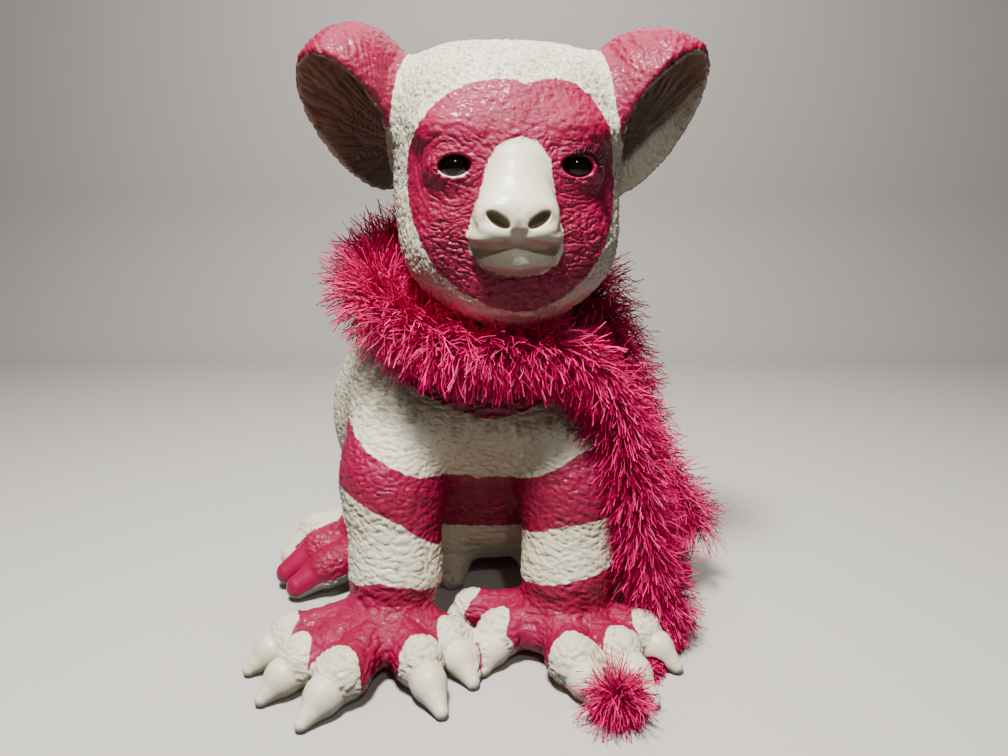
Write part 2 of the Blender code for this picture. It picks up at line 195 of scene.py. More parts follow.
def carve(a, b, width):
    """Mass a with b taken out of it, softened along the edge."""
    return -blend(-a, b, width)


# Torso: each mass as centre, half sizes and blend width.
TORSO = [
    ((0, -0.06, 0.42), (0.180, 0.150, 0.150), 0.09),
    ((0, 0.09, 0.185), (0.23, 0.16, 0.150), 0.07),
    ((0, 0.23, 0.160), (0.24, 0.17, 0.172), 0.09),
]


def torso(p):
    body = egg(p, (0, 0.13, 0.340), (0.325, 0.255, 0.280))
    body = blend(body, limb(p, (0, 0.08, 0.42), (0.035, -0.03, 0.64), 0.200, 0.115), 0.12)
    for centre, semi, width in TORSO:
        body = blend(body, egg(p, centre, semi), width)
    return body


def arm(p, side):
    """A foreleg from the shoulder to the wrist; side is -1 for the figure's right."""
    shoulder = (side * 0.150, -0.07, 0.43)
    elbow = (side * 0.158, -0.16, 0.29)
    wrist = (side * 0.153, -0.205, 0.13)
    upper = limb(p, shoulder, elbow, 0.100, 0.082)
    return blend(upper, limb(p, elbow, wrist, 0.080, 0.082), 0.06)


# Forepaws: for each toe where it leaves the palm, where its fur ends, and its claw's tip, in plan.
TOE_BASE_Z, TOE_END_Z, CLAW_TIP_Z = 0.052, 0.043, 0.011
RIGHT_PAW = {
    "palm": (-0.165, -0.262),
    "toes": [
        ((-0.215, -0.235), (-0.322, -0.274), (-0.383, -0.320), 0.036),
        ((-0.195, -0.265), (-0.286, -0.340), (-0.338, -0.396), 0.038),
        ((-0.175, -0.285), (-0.214, -0.378), (-0.260, -0.452), 0.039),
        ((-0.145, -0.275), (-0.099, -0.344), (-0.056, -0.425), 0.037),
        ((-0.125, -0.245), (-0.056, -0.284), (-0.011, -0.354), 0.036),
    ],
}
LEFT_PAW = {
    "palm": (0.140, -0.235),
    "toes": [
        ((0.185, -0.215), (0.273, -0.262), (0.328, -0.313), 0.036),
        ((0.165, -0.245), (0.225, -0.320), (0.272, -0.399), 0.038),
        ((0.140, -0.255), (0.151, -0.338), (0.189, -0.412), 0.039),
        ((0.105, -0.235), (0.036, -0.262), (0.008, -0.318), 0.037),
        ((0.090, -0.210), (-0.016, -0.186), (-0.062, -0.205), 0.034),
    ],
}
CLAW_BASE, CLAW_MIDDLE, CLAW_TIP, CLAW_FLATNESS = 0.033, 0.030, 0.012, 0.06


def toe(p, base, end, radius):
    finger = limb(p, (*base, TOE_BASE_Z), (*end, TOE_END_Z), 0.040, radius * 0.96)
    knob = egg(p, (*end, TOE_END_Z + 0.001), (radius * 1.10, radius * 1.10, radius * 1.04))
    return blend(finger, knob, 0.012)


def claw(p, end, tip, radius):
    """A blunt claw that leaves the fur half way up the toe's end and comes down to the floor."""
    size = radius / 0.037
    heel = Vector((*end, TOE_END_Z - 0.004))
    point = Vector((*tip, CLAW_TIP_Z))
    aside = (point - heel).cross(Vector((0, 0, 1))).normalized()
    narrow = p + ((p - np.array(heel)) @ np.array(aside))[:, None] * np.array(aside) * CLAW_FLATNESS
    knuckle = heel.lerp(point, 0.50) + Vector((0, 0, 0.005))
    back = limb(narrow, heel, knuckle, CLAW_BASE * size, CLAW_MIDDLE * size)
    return blend(back, limb(narrow, knuckle, point, CLAW_MIDDLE * size, CLAW_TIP), 0.004)


def forepaw(p, paw):
    x, y = paw["palm"]
    hand = egg(p, (x, y, 0.046), (0.085, 0.072, 0.050))
    for base, end, tip, radius in paw["toes"]:
        hand = blend(hand, toe(p, base, end, radius), 0.018)
    for base, end, tip, radius in paw["toes"]:
        hand = blend(hand, claw(p, end, tip, radius), 0.003)
    return hand


# Hind feet, on the figure's left; the right foot mirrors it. For each toe: start, end, claw tip and radius.
HIND_TOES = [
    ((0.27, 0.100, 0.085), (0.362, 0.058, 0.084), (0.410, 0.025, 0.045), 0.040),
    ((0.26, 0.055, 0.078), (0.345, 0.006, 0.068), (0.404, -0.027, 0.032), 0.039),
    ((0.24, 0.015, 0.066), (0.318, -0.044, 0.052), (0.370, -0.075, 0.027), 0.040),
]
HIND_CLAW_BASE, HIND_CLAW_TIP = 0.037, 0.024
# The inner toe of each hind foot, how far out it stands.
INNER_TOES = {-1: 0.070, 1: 0.108}


def hind_toe(mirrored, start, end, radius):
    return limb(mirrored, start, end, 0.046, radius)


def hind_claw(mirrored, end, tip):
    return limb(mirrored, end, tip, HIND_CLAW_BASE, HIND_CLAW_TIP)


def inner_toe(mirrored, side):
    x = INNER_TOES[side]
    return limb(mirrored, (x, -0.010, 0.112), (x - 0.003, -0.030, 0.032), 0.032, 0.030)


def hind_leg(p, side):
    mirrored = p * np.array([side, 1, 1])
    leg = egg(mirrored, (0.185, 0.13, 0.155), (0.115, 0.165, 0.150))
    leg = blend(leg, limb(mirrored, (0.15, 0.11, 0.09), (0.25, 0.05, 0.075), 0.080, 0.066), 0.06)
    for start, end, tip, radius in HIND_TOES:
        leg = blend(leg, hind_toe(mirrored, start, end, radius), 0.010)
    for start, end, tip, radius in HIND_TOES:
        leg = blend(leg, hind_claw(mirrored, end, tip), 0.006)
    x = INNER_TOES[side]
    instep = limb(mirrored, (x + 0.03, 0.06, 0.140), (x, -0.010, 0.112), 0.045, 0.032)
    return blend(leg, blend(instep, inner_toe(mirrored, side), 0.02), 0.02)


# Head. It is turned a little to the figure's left.
HEAD = Vector((0.045, -0.15, 0.795))
HEAD_TURN = 5.0


def head_point(right, forward, up):
    """A point in the head's own directions, from its centre."""
    return HEAD + Matrix.Rotation(math.radians(HEAD_TURN), 3, "Z") @ Vector((right, -forward, up))


def head_egg(p, middle, semi, roll=0):
    """An ellipsoid in the head's own directions; roll leans it about the way the face looks."""
    return egg(p, head_point(*middle), semi, (0, roll, HEAD_TURN))


# Masses added to the skull, on both sides where the first number isn't 0: middle, half sizes, blend width.
SKULL = [
    ((0.092, -0.010, 0.112), (0.090, 0.120, 0.099), 0.05),
    ((0.078, 0.060, -0.095), (0.088, 0.085, 0.090), 0.05),
    ((0.0, 0.085, -0.160), (0.085, 0.075, 0.058), 0.05),
    ((0.082, 0.110, 0.072), (0.060, 0.040, 0.034), 0.03),
]
EYE = (0.090, 0.126, 0.022)
LID = (0.042, 0.027, 0.031)
EYE_SLIT = (0.0245, 0.050, 0.0155)


def eye_slit(p, side):
    """Distance to the opening between the lids of one eye."""
    return head_egg(p, (side * EYE[0], EYE[1] + 0.035, EYE[2]), EYE_SLIT, side * 6)


def skull(p):
    head = head_egg(p, (0, 0, 0), (0.186, 0.165, 0.222))
    for (right, forward, up), semi, width in SKULL:
        for side in (-1, 1) if right else (1,):
            head = blend(head, head_egg(p, (side * right, forward, up), semi), width)
    for side in (-1, 1):
        lid = head_egg(p, (side * EYE[0], EYE[1] + 0.001, EYE[2]), LID, side * 6)
        head = carve(blend(head, lid, 0.022), eye_slit(p, side), 0.004)
    return head


# The nose pad lies across the end of the nose. Each nostril is a slit whose outer end is higher, with a
# rolled rim.
PAD = (0.024, 0.174, -0.056)
PAD_RADIUS = 0.034
NOSTRIL = (0.029, -0.0545)
NOSTRIL_HALF = (0.0185, 0.024, 0.0082)
RIM_HALF = (0.0225, 0.0175)
RIM_RADIUS = 0.0075
# The line of the mouth, as right, forward and up.
MOUTH_RADIUS = 0.0095
MOUTH = [(-0.066, 0.152, -0.095), (-0.057, 0.188, -0.098), (-0.032, 0.210, -0.099), (-0.002, 0.213, -0.090)]
MOUTH += [(0.028, 0.210, -0.099), (0.053, 0.188, -0.098), (0.062, 0.152, -0.095)]


def tube(p, route, radius):
    """Distance to a tube along points in the head's own directions."""
    places = [head_point(*point) for point in route]
    return np.minimum.reduce([limb(p, a, b, radius, radius) for a, b in zip(places, places[1:])])


def nostril_rim(side):
    """Points over the top of a nostril from its inner end to its outer end, on the pad."""
    route = []
    for place in range(9):
        turn = math.radians(205 - 30 * place)
        right, up = NOSTRIL[0] + RIM_HALF[0] * math.cos(turn), NOSTRIL[1] + RIM_HALF[1] * math.sin(turn)
        off = math.hypot(max(right - PAD[0], 0), up - PAD[2])
        route.append((side * right - 0.002, PAD[1] - 0.002 + math.sqrt(PAD_RADIUS**2 - off * off), up))
    return route


def nostril(p, side):
    middle = (side * NOSTRIL[0] - 0.002, PAD[1] + PAD_RADIUS, NOSTRIL[1])
    return head_egg(p, middle, NOSTRIL_HALF, side * -32)


def muzzle(p):
    """The bare nose, wide at the nostrils, over the two lobes of the upper lip and the cup of the lower."""
    nose = limb(p, head_point(-0.026, *PAD[1:]), head_point(0.022, *PAD[1:]), PAD_RADIUS, PAD_RADIUS)
    for side in (-1, 1):
        top = head_point(side * 0.013 + 0.003, 0.135, 0.018)
        tip = head_point(side * 0.019 - 0.001, 0.166, -0.042)
        nose = blend(nose, limb(p, top, tip, 0.034, 0.036), 0.028)
    for side in (-1, 1):
        cheek = head_egg(p, (side * 0.032 - 0.002, 0.164, -0.078), (0.037, 0.046, 0.018), side * 3)
        nose = blend(nose, cheek, 0.014)
        nose = blend(nose, tube(p, nostril_rim(side), RIM_RADIUS), 0.006)
        lobe = head_egg(p, (side * 0.030 - 0.002, 0.194, -0.072), (0.022, 0.019, 0.010), side * -14)
        nose = blend(nose, lobe, 0.008)
    nose = blend(nose, head_egg(p, (-0.002, 0.139, -0.110), (0.063, 0.054, 0.029)), 0.004)
    nose = carve(nose, tube(p, MOUTH, MOUTH_RADIUS), 0.006)
    nose = carve(nose, tube(p, [(-0.002, 0.224, -0.072), (-0.002, 0.216, -0.096)], 0.0055), 0.008)
    for side in (-1, 1):
        nose = carve(nose, nostril(p, side), 0.004)
    return nose


# Ears, each a bowl cut open: its middle from the head's centre, the way it opens, its long direction, half
# sizes and how far past its middle it is cut.
EARS = [
    ((-0.243, 0.003, 0.108), (-0.426, -0.554, -0.715), (0.176, 0.724, -0.667), (0.143, 0.090, 0.135), 0.026),
    ((0.227, 0.004, 0.108), (0.637, -0.521, -0.568), (-0.400, 0.407, -0.821), (0.133, 0.105, 0.135), 0.027),
]
EAR_WALL = 0.010
# The fleshy roll along each ear's upper edge, from the head outwards: two points from the head's centre and
# two radii.
EAR_ROLLS = [
    ((-0.155, -0.005, 0.138), (-0.308, -0.036, 0.184), 0.056, 0.014),
    ((0.145, -0.005, 0.138), (0.290, -0.036, 0.196), 0.056, 0.014),
]
# The flat undercut that ends each roll over the ear's hollow: a point of it from the head's centre, and its
# way up.
EAR_UNDERCUTS = [
    ((-0.242, -0.050, 0.165), (0.614, -0.024, 0.789)),
    ((0.236, -0.050, 0.159), (-0.644, -0.008, 0.765)),
]


def in_ear(p, middle, opens, long):
    """Places in an ear's own directions, the last the way it opens."""
    opens, long = Vector(opens).normalized(), Vector(long)
    long = (long - opens * long.dot(opens)).normalized()
    axes = np.array((long, opens.cross(long), opens))
    return (p - np.array(HEAD + Vector(middle))) @ axes.T


def ear(p, middle, opens, long, half, cut):
    local = in_ear(p, middle, opens, long)
    bowl = carve(egg(local, (0, 0, 0), half), cut - local[:, 2], 0.012)
    return carve(bowl, egg(local, (0, 0, 0), [h - EAR_WALL for h in half]), 0.008)


def above_undercut(p, index):
    point, way = EAR_UNDERCUTS[index]
    return (p - np.array(HEAD + Vector(point))) @ np.array(Vector(way).normalized())


def ear_roll(p, index):
    inner, outer, inner_radius, outer_radius = EAR_ROLLS[index]
    roll = limb(p, HEAD + Vector(inner), HEAD + Vector(outer), inner_radius, outer_radius)
    return carve(roll, above_undercut(p, index), 0.008)


def groove(p):
    """Distance to the channel the garland takes under the claws."""
    first, last = GROOVE
    lengths = []
    for start, end in zip(GARLAND[first:last], GARLAND[first + 1 :]):
        lengths.append(limb(p, start[:3], end[:3], GROOVE_RADIUS, GROOVE_RADIUS))
    return np.minimum.reduce(lengths)


def figure_form(points):
    """Signed distance to the cast figure, without its eye sockets."""
    p = points / HEIGHT
    body = torso(p)
    for side in (-1, 1):
        body = blend(body, hind_leg(p, side), 0.05)
        body = blend(body, arm(p, side), 0.045)
    for paw in (RIGHT_PAW, LEFT_PAW):
        body = blend(body, forepaw(p, paw), 0.03)
    head = skull(p)
    for index, values in enumerate(EARS):
        head = blend(head, blend(ear(p, *values), ear_roll(p, index), 0.02), 0.03)
    head = blend(head, muzzle(p), 0.010)
    body = blend(body, head, 0.035)
    body = carve(body, groove(p), 0.004)
    return np.maximum(body, -p[:, 2]) * HEIGHT


def mesh_from(name, form, low, high, cell):
    """The closed mesh where form is zero. Blocks far from the surface are only sampled once each."""
    block = 4
    counts = [block * math.ceil((b - a) / cell / block) for a, b in zip(low, high)]
    grid = np.empty(counts, np.float32)
    steps = [np.arange(0, n, block) for n in counts]
    corners = np.stack(np.meshgrid(*steps, indexing="ij"), -1).reshape(-1, 3)
    middle = form(np.array(low) + (corners + block / 2 - 0.5) * cell)
    near = np.abs(middle) < block * cell * 1.6
    inner = np.stack(np.meshgrid(*[np.arange(block)] * 3, indexing="ij"), -1).reshape(-1, 3)
    for corner, value in zip(corners[~near], middle[~near]):
        x, y, z = corner
        grid[x : x + block, y : y + block, z : z + block] = value
    fine = (corners[near][:, None] + inner).reshape(-1, 3)
    grid[tuple(fine.T)] = form(np.array(low) + fine * cell)
    volume = openvdb.FloatGrid(1.0)
    volume.copyFromArray(grid)
    points, quads = volume.convertToQuads()
    mesh = bpy.data.meshes.new(name)
    mesh.from_pydata(np.array(low) + points * cell, [], quads.tolist())
    mesh.validate()
    return mesh


# Directions for the noise's lattice, the same on every run.
LATTICE = np.random.default_rng(7).normal(size=(4096, 3))
LATTICE /= np.linalg.norm(LATTICE, axis=1)[:, None]


def noise(p, seed=0):
    """Smooth noise of about -1 to 1, one bump for each unit of length."""
    cell = np.floor(p).astype(np.int64)
    part = p - cell
    ease = part * part * part * (part * (part * 6 - 15) + 10)
    total = np.zeros(len(p))
    for corner in np.ndindex(2, 2, 2):
        near = cell + corner
        key = near[:, 0] * 73856093 ^ near[:, 1] * 19349663 ^ near[:, 2] * 83492791 ^ seed * 2654435
        value = np.einsum("ij,ij->i", LATTICE[key & 4095], part - corner)
        total += value * np.prod(np.where(corner, ease, 1 - ease), axis=1)
    return total * 1.6


def step(low, high, value):
    """0 below low, 1 above high, eased between."""
    share = np.clip((value - low) / (high - low), 0, 1)
    return share * share * (3 - 2 * share)


def to_head(p):
    """Right, forward and up from the head's centre."""
    turn = math.radians(HEAD_TURN)
    d = p / HEIGHT - np.array(HEAD)
    right = math.cos(turn) * d[:, 0] + math.sin(turn) * d[:, 1]
    forward = math.sin(turn) * d[:, 0] - math.cos(turn) * d[:, 1]
    return right, forward, d[:, 2]


# The outlines of the pink face and of the white nose, as right and up from the head's centre.
FACE = [
    (-0.060, 0.140), (-0.027, 0.146), (0.004, 0.143), (0.015, 0.138), (0.027, 0.142), (0.053, 0.148),
    (0.087, 0.143), (0.116, 0.122), (0.138, 0.086), (0.153, 0.050), (0.160, 0.004), (0.154, -0.052),
    (0.140, -0.093), (0.112, -0.140), (0.076, -0.171), (0.026, -0.189), (-0.002, -0.191), (-0.043, -0.180),
    (-0.084, -0.159), (-0.117, -0.132), (-0.137, -0.098), (-0.153, -0.058), (-0.160, -0.018), (-0.161, 0.016),
    (-0.157, 0.049), (-0.145, 0.075), (-0.124, 0.104), (-0.096, 0.125),
]
NOSE = [
    (-0.042, 0.029), (-0.030, 0.048), (-0.013, 0.058), (0.005, 0.061), (0.026, 0.057), (0.040, 0.044),
    (0.049, 0.030), (0.054, -0.005), (0.060, -0.040), (0.070, -0.075), (0.071, -0.098), (0.059, -0.121),
    (0.035, -0.133), (0.002, -0.136), (-0.029, -0.133), (-0.054, -0.121), (-0.070, -0.100), (-0.073, -0.074),
    (-0.063, -0.039), (-0.051, -0.006),
]


def outside(right, up, outline):
    """Distance from a closed outline, less than 0 inside it."""
    far = np.full(len(right), 9.0)
    odd = np.zeros(len(right), bool)
    for (ax, ay), (bx, by) in zip(outline, outline[1:] + outline[:1]):
        along = ((right - ax) * (bx - ax) + (up - ay) * (by - ay)) / ((bx - ax) ** 2 + (by - ay) ** 2)
        along = np.clip(along, 0, 1)
        far = np.minimum(far, np.hypot(right - ax - along * (bx - ax), up - ay - along * (by - ay)))
        crosses = (ay > up) != (by > up)
        odd ^= crosses & (right < ax + (up - ay) * (bx - ax) / np.where(by == ay, 1, by - ay))
    return np.where(odd, -far, far)


def ear_hollow(p, middle, opens, long, half, cut):
    """Distance to an ear's hollow, and places in the ear's own directions."""
    local = in_ear(p / HEIGHT, middle, opens, long)
    return egg(local, (0, 0, 0), [h - EAR_WALL for h in half]), local


# Heights of the stripes' edges across the front, as (x, z).
CHEST_EDGE = [
    (-0.24, 0.66), (-0.183, 0.521), (-0.140, 0.478), (-0.104, 0.453), (-0.060, 0.434), (-0.004, 0.414),
    (0.033, 0.410), (0.067, 0.420), (0.119, 0.439), (0.163, 0.456), (0.24, 0.52),
]
ELBOW_EDGE = [
    (-0.250, 0.400), (-0.227, 0.383), (-0.196, 0.360), (-0.142, 0.333), (-0.102, 0.315), (-0.071, 0.308),
    (-0.003, 0.289), (0.059, 0.297), (0.085, 0.309), (0.125, 0.332), (0.164, 0.355), (0.250, 0.390),
]
FOREARM_EDGE = [
    (-0.250, 0.292), (-0.218, 0.282), (-0.184, 0.267), (-0.134, 0.241), (-0.085, 0.195), (-0.06, 0.165),
    (0.06, 0.190), (0.077, 0.210), (0.134, 0.238), (0.202, 0.246), (0.25, 0.250),
]
WRIST_EDGE = [
    (-0.260, 0.120), (-0.222, 0.131), (-0.167, 0.148), (-0.118, 0.136), (-0.080, 0.118),
    (0.060, 0.118), (0.089, 0.134), (0.134, 0.146), (0.184, 0.155), (0.230, 0.158),
]


def across(x, edge):
    return np.interp(x, [e[0] for e in edge], [e[1] for e in edge])


def body_paint(p):
    """How far inside a white stripe each point of the body is, less than 0 where it is pink."""
    x, y, z = (p / HEIGHT).T
    chest, elbow = across(x, CHEST_EDGE), across(x, ELBOW_EDGE)
    forearm, wrist = across(x, FOREARM_EDGE), across(x, WRIST_EDGE)
    front = np.maximum(np.minimum(z - elbow, chest - z), np.minimum(z - wrist, forearm - z))
    behind = y - np.interp(z, [0, 0.25, 0.36, 0.50, 0.60], [-0.10, -0.10, -0.055, -0.030, -0.020])
    hoop = y + 0.35 * (z - 0.4) + 0.02 * noise(p * 6, 3)
    hoops = np.maximum(0.13 - hoop, np.minimum(hoop - 0.21, 0.30 - hoop))
    flank = z + 0.015 * noise(p * 7, 4)
    low = np.minimum(0.18 - flank, flank - 0.10)
    back = np.minimum(np.maximum(np.minimum(hoops, flank - 0.27), low), behind - 0.026)
    belly = np.maximum(np.minimum(z - elbow, chest - z), np.minimum(0.163 - z, z - 0.03))
    under = (np.abs(x) < 0.12) & (y < 0.09) & (z < 0.36)
    back = np.where(under, belly, back)
    return np.where(under & (behind > 0) & (z < 0.3), back, np.where(behind > 0, back, front))


def trunk(q):
    """The body beside the head, to tell which of the two is nearer."""
    return blend(torso(q), arm(q, -1), 0.04)


def paint(p):
    """How far inside white paint each point is, less than 0 where it is pink."""
    q = p / HEIGHT
    white = body_paint(p)
    for side in (-1, 1):
        mirrored = q * np.array([side, 1, 1])
        spans = []
        for start, end, tip, radius in HIND_TOES:
            spans.append(np.minimum(hind_toe(mirrored, start, end, radius), hind_claw(mirrored, end, tip)))
        foot = mirrored[:, 0] > 0.262
        ridge = np.interp(mirrored[:, 0], [0.27, 0.362, 0.410], [0.085, 0.084, 0.045])
        outermost = np.linalg.norm(mirrored - [0.412, 0.024, 0.044], axis=1)
        top = np.maximum(q[:, 2] - ridge - 0.018, 0.030 - outermost)
        sole = np.interp(mirrored[:, 0], [0.24, 0.318, 0.370], [0.066, 0.052, 0.027]) - 0.012 - q[:, 2]
        nearest = np.argmin(spans, axis=0)
        close = np.min(spans, axis=0) < 0.012
        value = np.choose(nearest, [top, np.full(len(p), -0.05), sole])
        white = np.where(foot & close, value, white)
        inner = inner_toe(mirrored, side)
        white = np.where(inner < 0.004, np.maximum(white, 0.158 - q[:, 2]), white)
    for paw in (RIGHT_PAW, LEFT_PAW):
        hand = np.where((q[:, 2] < 0.12) & (forepaw(q, paw) < 0.012), -1.0, -9.0)
        for base, end, tip, radius in paw["toes"]:
            ahead = Vector((end[0] - base[0], end[1] - base[1])).normalized()
            off = q[:, :2] - end
            along, beside = off @ ahead, off @ ahead.orthogonal()
            cap = np.where(toe(q, base, end, radius) < 0.010, along + 0.012 - 14 * beside**2, -1)
            hand = np.maximum(hand, np.maximum(cap, 0.006 - claw(q, end, tip, radius)))
        white = np.where(hand > -0.5, np.maximum(white, hand), white)
    right, forward, up = to_head(p)
    ring = np.maximum(outside(right, up, FACE), 0.02 - forward)
    rear = forward + 0.02 + 0.03 * np.clip(up / 0.15, -1, 1) + 0.008 * noise(p * 12, 5)
    nape = np.minimum(forward + 0.135, -0.095 - forward) + 0.01 * noise(p * 10, 6)
    skin = np.maximum(np.minimum(ring, rear), nape)
    bare = skull(q)
    ears = [np.minimum(ear(q, *values), ear_roll(q, index)) for index, values in enumerate(EARS)]
    for index, values in enumerate(EARS):
        hollow, local = ear_hollow(p, *values)
        lead = bare - ears[index]
        roll = ear_roll(q, index)
        inside = np.minimum(0.0045 - np.abs(hollow), values[4] + 0.004 - local[:, 2])
        inside = np.maximum(inside, np.minimum(0.012 - np.abs(roll), 0.006 - hollow))
        inside = np.minimum(inside, 0.003 - above_undercut(q, index) + 0.0015 * noise(p * 30, 8))
        skin = np.maximum(np.minimum(skin, 0.004 - lead), np.where(lead > -0.02, inside, -1))
    skin = np.maximum(skin, np.where(forward > 0.06, -outside(right, up, NOSE), -1))
    slit = eye_slit(q, -1)
    rim = np.minimum(0.0008 - np.abs(slit), EYE[2] - 0.008 - up)
    skin = np.maximum(skin, np.where((forward > 0.12) & (np.abs(right + EYE[0]) < 0.04), rim, -1))
    head_lead = trunk(q) - np.minimum(bare, np.minimum(ears[0], ears[1]))
    return np.where((head_lead > 0) & (q[:, 2] > 0.55), skin, white)


def ridged(p, seed):
    """Rounded ridges with narrow grooves between them, from 0 in a groove to 1."""
    return 1 - np.exp(-((noise(p, seed) / 0.19) ** 2))


# Where the folds inside each ear spread from, as (x, z).
FOLDS_FROM = [(-0.142, 0.874), (0.260, 0.866)]


def relief(p):
    """Height of the modelled fur over the smooth form, and how bare and how stippled the skin is there."""
    q = p / HEIGHT
    right, forward, up = to_head(p)
    warp = np.stack([noise(p * 26, 11), noise(p * 26, 12), noise(p * 26, 13)], 1) * 0.007
    w = p + warp
    high = (q[:, 2] > 0.63)[:, None]
    locks = ridged(w * np.where(high, [52, 52, 130], [40, 40, 105]), 21)
    locks += 0.7 * ridged(w * np.where(high, [90, 90, 210], [72, 72, 175]), 22)
    lumps = noise(p * 48, 23)
    stipple = noise(w * 150, 24) + 0.6 * noise(p * 240, 25)
    height = 0.0025 * (locks - 1) + 0.0006 * lumps
    head_lead = trunk(q) - np.minimum(skull(q), muzzle(q))
    on_head = step(0.60, 0.66, q[:, 2]) * (head_lead > -0.01)
    eye_far = np.minimum(np.hypot(right + EYE[0], up - EYE[2]), np.hypot(right - EYE[0], up - EYE[2]))
    turn = np.arctan2(up - EYE[2], np.abs(right) - EYE[0])
    rings = ridged(np.stack([eye_far * 105, turn * 2.0, np.sign(right) * 3], 1) + warp * 70, 26)
    around = on_head * (forward > 0.05) * (1 - step(0.055, 0.095, eye_far)) * step(0.026, 0.034, eye_far)
    brow = on_head * (forward > 0.05) * step(-0.02, 0.05, up) * (1 - around)
    crown = on_head * step(-0.004, 0.004, outside(right, up, FACE)) * (forward > -0.06)
    height = height * (1 - around) + around * (0.0019 * (rings - 0.5) + 0.0006 * (locks - 1))
    height = height * (1 - brow) + brow * (0.0013 * stipple + 0.0010 * (locks - 1))
    height = height * (1 - crown) + crown * 0.0026 * (stipple - 0.3)
    stippled = np.clip(crown + 0.4 * brow, 0, 1)
    for index, values in enumerate(EARS):
        hollow, local = ear_hollow(p, *values)
        x, z = FOLDS_FROM[index]
        spoke = np.arctan2(q[:, 2] - z, np.abs(q[:, 0] - x))
        far = np.hypot(q[:, 2] - z, q[:, 0] - x)
        fan = ridged(np.stack([spoke * 15, far * 12, far * 0 + index], 1) + warp * 45, 27)
        shell = np.minimum(np.abs(hollow), np.abs(egg(local, (0, 0, 0), values[3])))
        roll = ear_roll(q, index)
        on_ear = np.maximum(1 - step(0.008, 0.016, shell), 1 - step(0.006, 0.014, np.abs(roll)))
        on_ear = on_ear * step(0.0, 0.012, skull(q))
        inner = (np.abs(hollow) < 0.005) & (roll > 0.006)
        fleshy = 0.0016 * (fan - 0.5) + 0.0012 * (locks - 1) + 0.0012 * stipple
        height = height * (1 - on_ear) + on_ear * np.where(inner, 0.0042 * (fan - 0.5), fleshy)
        stippled = np.where(inner & (on_ear > 0.5), -0.45, stippled)
    bare = on_head * (forward > 0.09) * step(-0.003, 0.004, -outside(right, up, NOSE))
    chin = bare * (1 - step(-0.110, -0.085, up))
    for side in (-1, 1):
        lidless = 1 - step(0.0005, 0.003, eye_slit(q, side))
        bare = np.maximum(bare, lidless * (forward > 0.09))
    for paw in (RIGHT_PAW, LEFT_PAW):
        for base, end, tip, radius in paw["toes"]:
            nail = 1 - step(0.0003, 0.002, claw(q, end, tip, radius))
            nail *= step(0.0, 0.003, toe(q, base, end, radius))
            bare = np.maximum(bare, nail)
    for side in (-1, 1):
        mirrored = q * np.array([side, 1, 1])
        for start, end, tip, radius in HIND_TOES:
            nail = 1 - step(0.0005, 0.003, hind_claw(mirrored, end, tip))
            nail *= step(0.0, 0.003, hind_toe(mirrored, start, end, radius))
            bare = np.maximum(bare, nail)
    height = height * (1 - bare) + 0.0007 * chin * stipple + 0.0003 * bare * lumps
    return height, bare, stippled


def mesh_of(name, points, triangles):
    """A mesh of these triangles, with only the points that they use, and which points those are."""
    used, corners = np.unique(triangles, return_inverse=True)
    mesh = bpy.data.meshes.new(name)
    mesh.vertices.add(len(used))
    mesh.vertices.foreach_set("co", points[used].astype(np.float32).ravel())
    mesh.loops.add(triangles.size)
    mesh.loops.foreach_set("vertex_index", corners.ravel().astype(np.int32))
    mesh.polygons.add(len(triangles))
    mesh.polygons.foreach_set("loop_start", np.arange(0, triangles.size, 3, dtype=np.int32))
    mesh.update(calc_edges=True)
    mesh.shade_smooth()
    return mesh, used


def refined(work, wanted):
    """Splits each wanted face of the mesh being worked on into four."""
    work.faces.ensure_lookup_table()
    edges = {edge for index in np.flatnonzero(wanted) for edge in work.faces[index].edges}
    bmesh.ops.subdivide_edges(work, edges=list(edges), cuts=1, use_grid_fill=True)
    bmesh.ops.triangulate(work, faces=[face for face in work.faces if len(face.verts) > 4])


def threes(items, key, kind=np.float32):
    """Three numbers from each of a mesh's items."""
    values = np.empty(len(items) * 3, kind)
    items.foreach_get(key, values)
    return values.reshape(-1, 3)


def places_of(work):
    return np.array([face.calc_center_median() for face in work.faces])


# The skin is sampled coarsely, split finer where the photograph looks and again round the eyes and nose,
# drawn onto the exact form, and given its fur.
SKIN_CELL = 0.0057
low = [-0.46 * HEIGHT, -0.484 * HEIGHT, -0.02 * HEIGHT]
high = [0.46 * HEIGHT, 0.412 * HEIGHT, 1.06 * HEIGHT]
coarse = mesh_from("skin", figure_form, low, high, SKIN_CELL)
work = bmesh.new()
work.from_mesh(coarse)
middles = places_of(work)
ways = np.array([face.normal for face in work.faces])
seen = (ways[:, 1] < 0.15) & (middles[:, 1] < 0.12) & (ways[:, 2] > -0.5) & (middles[:, 2] > 0.012)
seen &= ~((middles[:, 1] > -0.09) & (middles[:, 2] < 0.30) & (np.abs(middles[:, 0]) < 0.14))
refined(work, seen)
right, forward, up = to_head(places_of(work))
refined(work, (forward > 0.09) & (np.abs(right) < 0.125) & (up > -0.142) & (up < 0.062))
coarse.clear_geometry()
work.to_mesh(coarse)
work.free()
spots = threes(coarse.vertices, "co").astype(np.float64)
for turn in range(3):
    coarse.vertices.foreach_set("co", spots.astype(np.float32).ravel())
    coarse.update()
    normal = threes(coarse.vertex_normals, "vector")
    spots -= normal * np.clip(figure_form(spots), -0.003, 0.003)[:, None]
height, bare, stippled = relief(spots)
height[spots[:, 2] < 0.002] = 0
white = paint(spots)
# Depth for the painted shade: how far each point lies sunk in the fur, made deeper inside the nostrils and
# along the mouth so that these are painted darker. The shape itself is not changed by this.
shade_depth = height.copy()
for side in (-1, 1):
    shade_depth = np.minimum(shade_depth, -0.0030 * (1 - step(-0.001, 0.003, nostril(spots / HEIGHT, side))))
